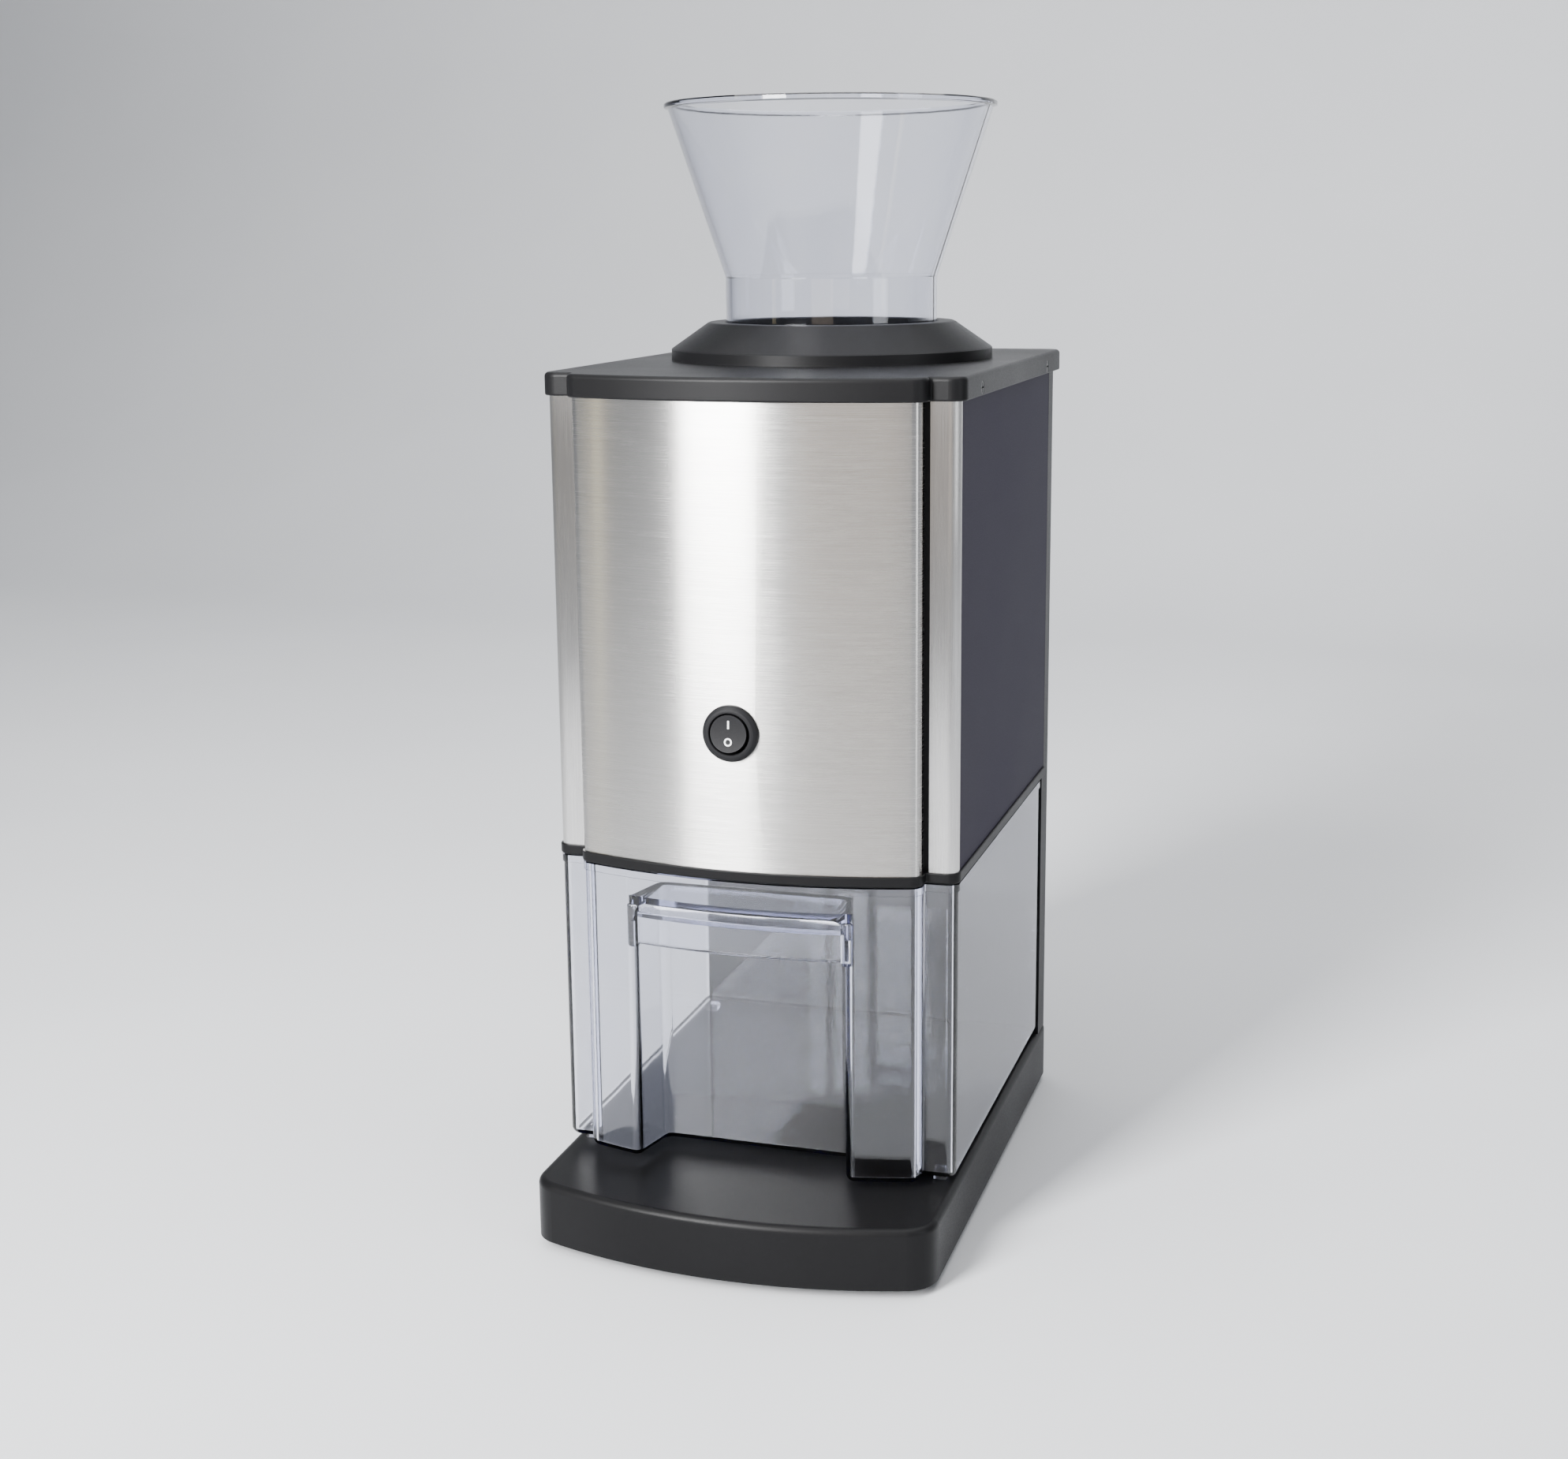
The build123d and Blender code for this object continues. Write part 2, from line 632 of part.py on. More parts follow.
def motor_end_caps():
    bore = rod_x((-70, 60), *MOTOR_AT, MOTOR_SHAFT_R + RUNNING_GAP)
    left = rod_x((CASE_X[1], CAN_X[0]), *MOTOR_AT, CAN_R)
    left += rod_x((CASE_X[1] - 2.5, CASE_X[1] + 1), *MOTOR_AT, 9.0)
    right = rod_x((CAN_X[1], CAN_X[1] + 5), *MOTOR_AT, CAN_R)
    right += rod_x((CAN_X[1] + 4, CAN_X[1] + 8), *MOTOR_AT, 9.0)
    for turn in range(6):
        angle = math.radians(60 * turn + 30)
        y = MOTOR_AT[0] + 19 * math.cos(angle)
        z = MOTOR_AT[1] + 19 * math.sin(angle)
        right -= rod_x((CAN_X[1] - 1, CAN_X[1] + 9), y, z, 4.5)
    return [left - bore, right - bore]


def motor_magnets():
    ring = rod_x((-32, 22), *MOTOR_AT, CAN_R - 2) - rod_x((-40, 40), *MOTOR_AT, 23.6)
    gap = block((-40, 40), (MOTOR_AT[0] - 40, MOTOR_AT[0] + 40), (MOTOR_AT[1] - 7, MOTOR_AT[1] + 7))
    return (ring - gap).solids()


def armature():
    core = rod_x((-28, 16), *MOTOR_AT, 22.8)
    for slot in range(12):
        angle = 30 * slot
        cut = block((-30, 18), (19.0, 24.0), (-1.4, 1.4))
        core -= Pos(0, *MOTOR_AT) * Rot(angle, 0, 0) * cut
    windings = rod_x((-34, -28), *MOTOR_AT, 18.5) + rod_x((16, 22), *MOTOR_AT, 18.5)
    return core + windings - rod_x((-40, 40), *MOTOR_AT, MOTOR_SHAFT_R)


def commutator():
    drum = rod_x((24, 33), *MOTOR_AT, 9.0)
    for bar in range(12):
        cut = block((23, 34), (8.2, 10.0), (-0.35, 0.35))
        drum -= Pos(0, *MOTOR_AT) * Rot(30 * bar + 15, 0, 0) * cut
    return drum - rod_x((20, 40), *MOTOR_AT, MOTOR_SHAFT_R)


def brushes():
    pieces = []
    for side in (-1, 1):
        low, high = sorted_pair(MOTOR_AT[0] + side * 9.5, MOTOR_AT[0] + side * (CAN_R - 2.3))
        pieces.append(block((26, 31.5), (low, high), (MOTOR_AT[1] - 2.5, MOTOR_AT[1] + 2.5)))
    return pieces


def motor_shaft():
    return rod_x((-74.5, 54.0), *MOTOR_AT, MOTOR_SHAFT_R)


def motor_pinion():
    phase = TO_MOTOR + math.pi + math.pi / MOTOR_PINION_TEETH
    return placed_gear(FIRST_MODULE, MOTOR_PINION_TEETH, phase, MOTOR_SHAFT_R, MOTOR_AT, PLANE_B)


def cooling_fan():
    fan = rod_x((45.5, 47.0), *MOTOR_AT, 25.0) + rod_x((45.5, 54.0), *MOTOR_AT, 8.0)
    for blade in range(9):
        vane = block((46.5, 54.0), (7.0, 25.0), (-0.7, 0.7))
        fan += Pos(0, *MOTOR_AT) * Rot(40 * blade, 0, 0) * vane
    return fan - rod_x((40, 60), *MOTOR_AT, MOTOR_SHAFT_R)


def chute():
    outer_y = (HOPPER_Y - 36.5, HOPPER_Y + 36.5)
    inner_y = (HOPPER_Y - 34.3, HOPPER_Y + 34.3)
    tube = block((-46, 46), outer_y, (STEEL_BOTTOM, CHAMBER_BOTTOM))
    tube += block((-52, 52), (HOPPER_Y - 39, HOPPER_Y + 39), (CHAMBER_BOTTOM - 3, CHAMBER_BOTTOM))
    tube += block((-52, 52), (HOPPER_Y - 39, HOPPER_Y + 39), (STEEL_BOTTOM, STEEL_BOTTOM + 3))
    tube -= block((-43.8, 43.8), inner_y, (STEEL_BOTTOM - 1, CHAMBER_BOTTOM + 1))
    for x, y in CHUTE_SCREW_SPOTS:
        tube -= rod_z(x, y, (STEEL_BOTTOM - 1, STEEL_BOTTOM + 4), 1.55)
    return tube


def chute_screws():
    screws = []
    for x, y in CHUTE_SCREW_SPOTS:
        head = rod_z(x, y, (STEEL_BOTTOM + 3, STEEL_BOTTOM + 5), 2.4)
        screws.append(head + rod_z(x, y, (HOUSING_BOTTOM + 1.2, STEEL_BOTTOM + 3.5), 1.5))
    return screws


def switch_body():
    body = rod_y(SWITCH_X, (NOSE_Y + 0.4, NOSE_Y + 22), SWITCH_Z, 9.7)
    body -= rod_y(SWITCH_X, (NOSE_Y - 1, NOSE_Y + 9), SWITCH_Z, ROCKER_WINDOW_R)
    for x in (SWITCH_X - 4.0, SWITCH_X + 4.0):
        body += block((x - 2.4, x + 2.4), (NOSE_Y + 21, NOSE_Y + 29), (SWITCH_Z - 0.4, SWITCH_Z + 0.4))
    return body


def switch_bezel():
    """Sloping ring that clips into the panel and frames the rocker."""
    profile = [
        (ROCKER_WINDOW_R, 1.0),
        (ROCKER_WINDOW_R, BEZEL_RISE - 0.3),
        (ROCKER_WINDOW_R + 0.3, BEZEL_RISE),
        (BEZEL_FRONT_R, BEZEL_RISE),
        (BEZEL_FRONT_R + 0.8, BEZEL_RISE - 0.15),
        (BEZEL_R - 0.6, BEZEL_RISE - 0.7),
        (BEZEL_R - 0.15, BEZEL_RISE - 1.2),
        (BEZEL_R, BEZEL_RISE - 1.7),
        (BEZEL_R, 0.05),
        (9.7, 0.05),
        (9.7, -0.4),
        (ROCKER_WINDOW_R, -0.4),
    ]
    ring = revolve(Plane.XZ * Polygon(*profile, align=None), Axis.Z)
    return Pos(SWITCH_X, NOSE_Y, SWITCH_Z) * Rot(90, 0, 0) * ring


def rocker():
    """Round paddle with a shallow valley; it rests with the upper half pressed in."""
    paddle = rod_y(0, (-ROCKER_RISE, 2.0), 0, ROCKER_R)
    paddle = fillet(paddle.edges().filter_by(GeomType.CIRCLE).group_by(Axis.Y)[0], 0.5)
    valley = rod_x((-10, 10), -ROCKER_RISE - 59.2, 0, 60.0)
    paddle -= valley
    paddle += rod_x((-ROCKER_R + 0.6, ROCKER_R - 0.6), 2.0, 0, 2.0)
    return Pos(SWITCH_X, NOSE_Y + ROCKER_PIVOT, SWITCH_Z) * Rot(ROCKER_REST_TILT, 0, 0) * paddle


def interlock_body():
    body = block(
        (INTERLOCK_X - 7, INTERLOCK_X + 7),
        (COLUMN_FRONT + 2.5, COLUMN_FRONT + 12.5),
        (INTERLOCK_Z - 10, INTERLOCK_Z + 10),
    )
    bore = rod_y(INTERLOCK_X, (COLUMN_FRONT, COLUMN_FRONT + 11), INTERLOCK_Z, PLUNGER_R + RUNNING_GAP)
    return body - bore


def interlock_plunger():
    pin = rod_y(INTERLOCK_X, (CONTAINER_BACK + 0.5, COLUMN_FRONT + 8), INTERLOCK_Z, PLUNGER_R)
    return chamfer(pin.edges().filter_by(GeomType.CIRCLE).group_by(Axis.Y)[0], 0.7)


def recess_half(y, grow):
    """Half width of the recess at depth y; it narrows towards its back wall."""
    front_y = bow_y(RECESS_FRONT_HALF)
    share = (y - front_y) / (RECESS_BACK_Y - front_y)
    return RECESS_FRONT_HALF + share * (RECESS_BACK_HALF - RECESS_FRONT_HALF) + grow


def recess_plan(grow):
    front = NOSE_Y - 6
    back = RECESS_BACK_Y + grow
    wide = recess_half(front, grow)
    narrow = recess_half(back, grow)
    corners = [(-wide, front), (wide, front), (narrow, back), (-narrow, back)]
    return Pos(RECESS_X, 0) * Polygon(*corners, align=None)


def bow_y(x, inset=0.0):
    """Front of the bowed middle at x, moved inward by inset."""
    radius = bow_radius(BOW_HALF, BOW) - inset
    return NOSE_Y + bow_radius(BOW_HALF, BOW) - math.sqrt(radius ** 2 - x ** 2)


def recess_mouth(side, grow=0.0, inset=0.0):
    """Where a side wall of the recess meets the bowed front."""
    x, y = RECESS_X, NOSE_Y
    for _ in range(6):
        x = RECESS_X + side * recess_half(y, grow)
        y = bow_y(x, inset)
    return x, y


def container_block(inset, front_r, back_r, low, high):
    """Solid container outline with the finger recess, its walls moved inward by inset."""
    grow = inset - 0.1
    solid = slab(body_plan(inset, back=CONTAINER_BACK + 0.1) - recess_plan(grow), low, high)
    back = RECESS_BACK_Y + grow
    for side in (-1, 1):
        solid = round_upright(solid, *recess_mouth(side, grow, inset), front_r)
        solid = round_upright(solid, RECESS_X + side * recess_half(back, grow), back, back_r)
    return solid


def recess_roof():
    """Top of the recess: bowed in front, with rounded upper corners to the opening below it."""
    opening = Pos(0, RECESS_TOP - 30) * Rectangle(2 * RECESS_FRONT_HALF, 60)
    opening = fillet(opening.vertices().group_by(Axis.Y)[-1], RECESS_ARCH_R)
    face = Pos(0, (RECESS_TOP + CONTAINER_TOP) / 2 - 4) * Rectangle(100, CONTAINER_TOP - RECESS_TOP + 8)
    band = extrude(Plane.XZ * (face - opening), amount=60, both=True)
    zone = body_plan(0.1, back=CONTAINER_BACK + 0.1) & (Pos(RECESS_X, NOSE_Y + 9) * Rectangle(96, 40))
    return slab(zone, RECESS_TOP - 10, CONTAINER_TOP) & (Pos(RECESS_X, NOSE_Y + 15, 0) * band)


def container():
    body = container_block(0.1, 3.6, 3.0, CONTAINER_BOTTOM, CONTAINER_TOP)
    body = fillet(body.edges().group_by(Axis.Z)[0], BOTTOM_R)
    body += recess_roof()
    rim = body_plan(0.1 - RIM_STEP, back=CONTAINER_BACK + 0.1)
    body += slab(rim - body_plan(1.0, back=CONTAINER_BACK), CONTAINER_TOP - RIM_H, CONTAINER_TOP)
    inset = 0.1 + WALL
    body -= container_block(inset, 1.4, 5.0, CONTAINER_BOTTOM + WALL, CONTAINER_TOP + 1)
    body -= slab(body_plan(inset, back=CONTAINER_BACK + 0.1), RECESS_TOP + WALL, CONTAINER_TOP + 1)
    for x in (-77.5, 77.5):
        for y in (-68.0, 90.0):
            body += block((x - 2.6, x + 2.6), (y - 2.6, y + 2.6), (PAD_BOTTOM, CONTAINER_BOTTOM + 1.2))
    return body


def handle_bar():
    """Bowed grip across the recess, a shelf behind its top edge and a proud boss at each end."""
    radius = bow_radius(BOW_HALF, BOW)
    centre = Pos(0, NOSE_Y + radius)
    band = Pos(RECESS_X, NOSE_Y + 6) * Rectangle(2 * RECESS_FRONT_HALF - 1, 16)
    arc = (centre * Circle(radius - 0.3) - centre * Circle(radius - HANDLE_DEPTH)) & band
    shelf = (centre * Circle(radius - 0.3) - centre * Circle(radius - HANDLE_SHELF)) & band
    bar = slab(arc, HANDLE_BOTTOM, HANDLE_TOP) + slab(shelf, HANDLE_TOP - 2.6, HANDLE_TOP)
    bar = fillet(bar.edges().group_by(Axis.Z)[0], 1.0)
    for side in (-1, 1):
        x, y = recess_mouth(side)
        boss = rod_z(x + side * BOSS_OUTBOARD, y + 1.6, (HANDLE_BOTTOM - 1.2, RECESS_TOP - 0.8), BOSS_R)
        bar += fillet(boss.edges().filter_by(GeomType.CIRCLE), 0.9)
    return bar - container_block(0.1, 3.6, 3.0, CONTAINER_BOTTOM, CONTAINER_TOP) - recess_roof()


def cable_gland():
    gland = rod_y(-50, (BODY_BACK - 5, BODY_BACK + 4), 190, 6.0)
    gland += rod_y(-50, (BODY_BACK, BODY_BACK + 1.5), 190, 8.0)
    gland += rod_y(-50, (BODY_BACK - 4.6, BODY_BACK - 2.5), 190, 8.0)
    return gland - rod_y(-50, (BODY_BACK - 6, BODY_BACK + 5), 190, 3.4)


def wire(points, radius):
    """Round wire through the points with ball joints at the bends."""
    shape = Pos(*points[0]) * Sphere(radius)
    for start, end in zip(points[:-1], points[1:]):
        axis = Vector(*end) - Vector(*start)
        run = Plane(origin=start, z_dir=axis) * extrude(Circle(radius), amount=axis.length)
        shape += run
        shape += Pos(*end) * Sphere(radius)
    return shape


def wiring():
    supply = [
        (-50, 116, 190),
        (-50, 100, 186),
        (-62, 88, 182),
        (-62, -52, 190),
        (-12, -60, 214),
        (-5, -64.2, 218),
    ]
    motor_lead = [(5, -65.2, 223), (22, -62, 240), (33.5, -54, 260), (33.5, -46.7, 266.5)]
    sensor_lead = [
        (58, 114, 152),
        (58, 113, 182),
        (64, 90, 186),
        (64, -52, 196),
        (14, -60, 214),
        (5, -65.2, 218),
    ]
    return [wire(supply, 2.2), wire(motor_lead, 1.2), wire(sensor_lead, 1.2)]


save("base_tray", base_tray())
save("rubber_feet", *rubber_feet())
save("column_screws", *column_screws())
save("rear_shell", rear_shell())
save("housing_floor", housing_floor())
save("front_frame", front_frame())
save("front_panel", front_panel())
save("corner_strip_left", corner_strip(-1))
save("corner_strip_right", corner_strip(1))
save("side_panel_left", side_panel(-1))
save("side_panel_right", side_panel(1))
save("top_cap", top_cap())
save("cap_screws", *cap_screws())
save("collar", collar())
save("hopper", hopper())
save("crusher_chamber", crusher_chamber())
save("comb_blades", *comb_blades())
save("shaft_bushes", *shaft_bushes())
save("crusher_shaft", crusher_shaft())
save("crusher_blades", *crusher_blades())
save("blade_spacers", *blade_spacers())
save("final_gear", final_gear())
save("middle_gear", middle_gear())
save("gear_pin", gear_pin())
save("gearbox_case", gearbox_case())
save("gearbox_cover", gearbox_cover())
save("gearbox_screws", *gearbox_screws())
save("motor_can", motor_can())
save("motor_end_caps", *motor_end_caps())
save("motor_magnets", *motor_magnets())
save("motor_brushes", *brushes())
save("motor_shaft", motor_shaft())
save("motor_pinion", motor_pinion())
save("armature", armature())
save("commutator", commutator())
save("cooling_fan", cooling_fan())
save("chute", chute())
save("chute_screws", *chute_screws())
save("switch_body", switch_body())
save("switch_bezel", switch_bezel())
save("rocker", rocker())
save("interlock_body", interlock_body())
save("interlock_plunger", interlock_plunger())
save("container", container())
save("handle_bar", handle_bar())
save("cable_gland", cable_gland())
save("wiring", *wiring())
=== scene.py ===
import math

import bpy
import bmesh
from mathutils import Matrix, Vector
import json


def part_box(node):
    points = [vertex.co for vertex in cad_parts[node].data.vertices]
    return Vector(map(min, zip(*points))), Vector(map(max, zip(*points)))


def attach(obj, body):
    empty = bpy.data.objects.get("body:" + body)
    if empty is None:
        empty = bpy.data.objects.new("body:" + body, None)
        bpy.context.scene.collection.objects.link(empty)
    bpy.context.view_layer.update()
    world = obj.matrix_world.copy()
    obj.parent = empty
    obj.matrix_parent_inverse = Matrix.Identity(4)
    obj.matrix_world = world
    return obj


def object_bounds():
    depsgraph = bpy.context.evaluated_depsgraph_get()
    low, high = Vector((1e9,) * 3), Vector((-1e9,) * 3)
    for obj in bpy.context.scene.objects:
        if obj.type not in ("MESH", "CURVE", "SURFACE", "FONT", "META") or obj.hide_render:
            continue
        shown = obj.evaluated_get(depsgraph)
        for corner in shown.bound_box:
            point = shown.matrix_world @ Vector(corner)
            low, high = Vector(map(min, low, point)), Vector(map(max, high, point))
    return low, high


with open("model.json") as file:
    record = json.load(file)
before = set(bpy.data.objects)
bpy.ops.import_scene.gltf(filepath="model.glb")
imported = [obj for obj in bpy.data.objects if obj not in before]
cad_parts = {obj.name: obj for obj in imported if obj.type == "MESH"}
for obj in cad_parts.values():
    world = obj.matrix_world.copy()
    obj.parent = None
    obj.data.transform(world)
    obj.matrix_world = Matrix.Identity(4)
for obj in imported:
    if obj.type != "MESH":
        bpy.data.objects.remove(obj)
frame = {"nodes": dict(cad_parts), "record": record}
cad_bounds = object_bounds()
nodes = frame["nodes"]


# ---------------------------------------------------------------- node helpers

def scaled(colour, factor):
    return tuple(min(1.0, factor * channel) for channel in colour)


class Shader:
    """A material's node tree with a Principled surface, and short ways to add nodes to it."""

    def __init__(self, name):
        self.material = bpy.data.materials.new(name)
        self.material.use_nodes = True
        self.tree = self.material.node_tree
        self.surface = self.tree.nodes["Principled BSDF"]
        self.output = self.tree.nodes["Material Output"]
        self.coords = self.tree.nodes.new("ShaderNodeTexCoord").outputs["Object"]

    def add(self, kind, **values):
        node = self.tree.nodes.new(kind)
        for key, value in values.items():
            setattr(node, key, value)
        return node

    def link(self, source, target):
        self.tree.links.new(source, target)

    def set(self, **values):
        """Values that are the same all over the surface, on the shader's own sockets."""
        for key, value in values.items():
            self.surface.inputs[key.replace("_", " ")].default_value = value

    def stretched(self, scale):
        mapping = self.add("ShaderNodeMapping")
        mapping.inputs["Scale"].default_value = scale
        self.link(self.coords, mapping.inputs["Vector"])
        return mapping.outputs["Vector"]

    def noise(self, scale, detail=3.0, rough=0.5, vector=None):
        node = self.add("ShaderNodeTexNoise")
        node.inputs["Scale"].default_value = scale
        node.inputs["Detail"].default_value = detail
        node.inputs["Roughness"].default_value = rough
        self.link(vector if vector is not None else self.coords, node.inputs["Vector"])
        return node.outputs["Fac"]

    def ramp(self, value, low, high, from_low=0.3, from_high=0.7):
        node = self.add("ShaderNodeMapRange")
        node.inputs["From Min"].default_value = from_low
        node.inputs["From Max"].default_value = from_high
        node.inputs["To Min"].default_value = low
        node.inputs["To Max"].default_value = high
        self.link(value, node.inputs["Value"])
        return node.outputs["Result"]

    def mix(self, factor, first, second):
        node = self.add("ShaderNodeMix", data_type="RGBA")
        if isinstance(factor, float):
            node.inputs[0].default_value = factor
        else:
            self.link(factor, node.inputs[0])
        for slot, value in ((6, first), (7, second)):
            if isinstance(value, tuple):
                node.inputs[slot].default_value = (*value, 1.0)
            else:
                self.link(value, node.inputs[slot])
        return node.outputs[2]

    def edges(self, radius, gain):
        """0 on flat areas, rising to gain on edges: the mask for a painted highlight along edges,
        which also stands for rubbed wear.
        """
        bevel = self.add("ShaderNodeBevel", samples=4)
        bevel.inputs["Radius"].default_value = radius
        geometry = self.add("ShaderNodeNewGeometry")
        dot = self.add("ShaderNodeVectorMath", operation="DOT_PRODUCT")
        self.link(bevel.outputs["Normal"], dot.inputs[0])
        self.link(geometry.outputs["Normal"], dot.inputs[1])
        return self.ramp(dot.outputs["Value"], gain, 0.0, 0.75, 0.995)

    def colour(self, value):
        self.link(value, self.surface.inputs["Base Color"])

    def roughness(self, value, change=None):
        if change is not None:
            total = self.add("ShaderNodeMath", operation="ADD")
            self.link(value, total.inputs[0])
            self.link(change, total.inputs[1])
            value = total.outputs[0]
        self.link(value, self.surface.inputs["Roughness"])

    def relief(self, height, strength, distance):
        node = self.add("ShaderNodeBump")
        node.inputs["Strength"].default_value = strength
        node.inputs["Distance"].default_value = distance
        self.link(height, node.inputs["Height"])
        self.link(node.outputs["Normal"], self.surface.inputs["Normal"])


# ---------------------------------------------------------------- materials

# Brushing: how its fine and broad lines are stretched, and the way that it smears what it mirrors.
LEVEL_BRUSHING = ((40, 40, 6000), (26, 26, 2600), (0, 0, 1))
UPRIGHT_BRUSHING = ((6000, 6000, 40), (2600, 2600, 26), (1, 0, 0))


def brushed_steel(name, colour, brushing, roughness=0.25):
    """Stainless sheet whose brushing smears reflections across its lines."""
    s = Shader(name)
    fine_scale, broad_scale, smear = brushing
    fine = s.noise(1.0, rough=0.7, vector=s.stretched(fine_scale))
    broad = s.noise(1.0, rough=0.65, vector=s.stretched(broad_scale))
    smudge = s.noise(14.0)
    grain = s.mix(0.5, s.ramp(fine, 0.0, 1.0), s.ramp(broad, 0.0, 1.0))
    s.colour(s.mix(grain, scaled(colour, 0.84), scaled(colour, 1.08)))
    s.roughness(s.ramp(fine, roughness - 0.03, roughness + 0.04), s.ramp(smudge, -0.015, 0.02))
    s.relief(grain, 0.025, 0.0001)
    s.set(Metallic=1.0, Anisotropic=1.0)
    tangent = s.add("ShaderNodeCombineXYZ")
    for axis, value in zip("XYZ", smear):
        tangent.inputs[axis].default_value = value
    s.link(tangent.outputs[0], s.surface.inputs["Tangent"])
    return s.material


def machined_steel(name, colour, roughness=0.28):
    """Turned or ground metal with faint stains."""
    s = Shader(name)
    turned = s.noise(1.0, rough=0.6, vector=s.stretched((4200, 60, 60)))
    stain = s.noise(60.0, detail=4.0, rough=0.6)
    s.colour(s.mix(s.ramp(stain, 0.0, 1.0), scaled(colour, 0.72), colour))
    s.roughness(s.ramp(turned, roughness - 0.06, roughness + 0.1))
    s.relief(turned, 0.12, 0.0001)
    s.set(Metallic=1.0)
    return s.material


def moulded_plastic(name, colour, roughness=0.4, grain=2600.0, depth=0.22, edge_highlight_and_wear=0.3):
    """Injection moulding: very fine spark-eroded grain, faint flow marks, and edges painted lighter as
    a painted highlight that also stands for rubbed wear.
    """
    s = Shader(name)
    fine = s.noise(grain, detail=2.0, rough=0.6)
    flow = s.noise(9.0)
    tone = s.mix(s.ramp(flow, 0.0, 1.0), scaled(colour, 0.82), scaled(colour, 1.15))
    # Edges are painted lighter: a painted highlight along the edges, which also stands for rubbed
    # wear.
    edge_highlight_and_worn_tone = tuple(min(1.0, 1.8 * channel + 0.006) for channel in colour)
    s.colour(s.mix(s.edges(0.0012, edge_highlight_and_wear), tone, edge_highlight_and_worn_tone))
    s.roughness(s.ramp(fine, roughness - 0.06, roughness + 0.06), s.ramp(flow, -0.04, 0.05))
    s.relief(fine, depth, 0.00012)
    s.set(Specular_IOR_Level=0.11)
    return s.material


def lacquered_panel(name, colour):
    """Smooth satin lacquer over sheet metal."""
    s = Shader(name)
    peel = s.noise(420.0, detail=2.0)
    cloud = s.noise(7.0, rough=0.55)
    dust = s.noise(2100.0, detail=1.0)
    tone = s.mix(s.ramp(cloud, 0.0, 1.0), scaled(colour, 0.85), scaled(colour, 1.12))
    # Edges are painted lighter: a painted highlight along the edges, which also stands for rubbed
    # wear.
    s.colour(s.mix(s.edges(0.0008, 0.3), tone, scaled(colour, 2.2)))
    s.roughness(s.ramp(cloud, 0.46, 0.52), s.ramp(dust, -0.02, 0.04))
    s.relief(peel, 0.05, 0.0002)
    s.set(Specular_IOR_Level=0.04)
    return s.material


def clear_plastic(name, tint, absorb, density):
    """Clear moulded plastic, a little blue where light crosses a long way of it."""
    s = Shader(name)
    wave = s.noise(55.0, detail=2.0)
    haze = s.noise(600.0, rough=0.6)
    scuff = s.noise(1.0, detail=2.0, vector=s.stretched((900, 900, 40)))
    s.colour(s.mix(s.ramp(wave, 0.0, 1.0), tint, scaled(tint, 1.02)))
    s.roughness(s.ramp(haze, 0.02, 0.05), s.ramp(scuff, 0.0, 0.02, 0.5, 0.75))
    s.relief(wave, 0.05, 0.0006)
    s.set(Transmission_Weight=1.0, IOR=1.49)
    volume = s.add("ShaderNodeVolumeAbsorption")
    volume.inputs["Color"].default_value = (*absorb, 1.0)
    volume.inputs["Density"].default_value = density
    s.link(volume.outputs[0], s.output.inputs["Volume"])
    return s.material


def rubber(name, colour):
    """Matt rubber, greyed by dust."""
    s = Shader(name)
    fine = s.noise(1400.0, rough=0.6)
    dust = s.noise(40.0, detail=4.0, rough=0.6)
    s.colour(s.mix(s.ramp(dust, 0.0, 0.6), colour, tuple(channel + 0.03 for channel in colour)))
    s.roughness(s.ramp(dust, 0.7, 0.9))
    s.relief(fine, 0.3, 0.0002)
    return s.material


def cast_surface(name, colour, metallic, roughness):
    """Rough-cast, sintered or painted metal."""
    s = Shader(name)
    fine = s.noise(900.0, detail=4.0, rough=0.65)
    stain = s.noise(35.0, detail=4.0, rough=0.6)
    s.colour(s.mix(s.ramp(stain, 0.0, 1.0), scaled(colour, 0.7), colour))
    s.roughness(s.ramp(fine, roughness - 0.08, roughness + 0.1))
    s.relief(fine, 0.2, 0.0002)
    s.set(Metallic=metallic)
    return s.material


def white_print(name):
    """White ink, as printed on the rocker."""
    s = Shader(name)
    fine = s.noise(2500.0, detail=2.0)
    s.colour(s.mix(s.ramp(fine, 0.0, 1.0), (0.78, 0.78, 0.78), (0.88, 0.88, 0.87)))
    s.roughness(s.ramp(fine, 0.4, 0.55))
    s.relief(fine, 0.1, 0.0001)
    return s.material


def floor_material(name):
    s = Shader(name)
    cloud = s.noise(3.0)
    s.colour(s.mix(s.ramp(cloud, 0.0, 1.0), (0.60, 0.61, 0.63), (0.63, 0.64, 0.66)))
    s.set(Roughness=0.7, Specular_IOR_Level=0.2)
    return s.material


PANEL_TONE = (0.52, 0.51, 0.495)
STRIP_TONE = (0.62, 0.61, 0.60)
BLACK = (0.0055, 0.0055, 0.006)
CLEAR_TINT = (0.965, 0.972, 1.0)
CLEAR_ABSORB = (0.60, 0.64, 0.97)
CLEAR_DENSITY = 42.0

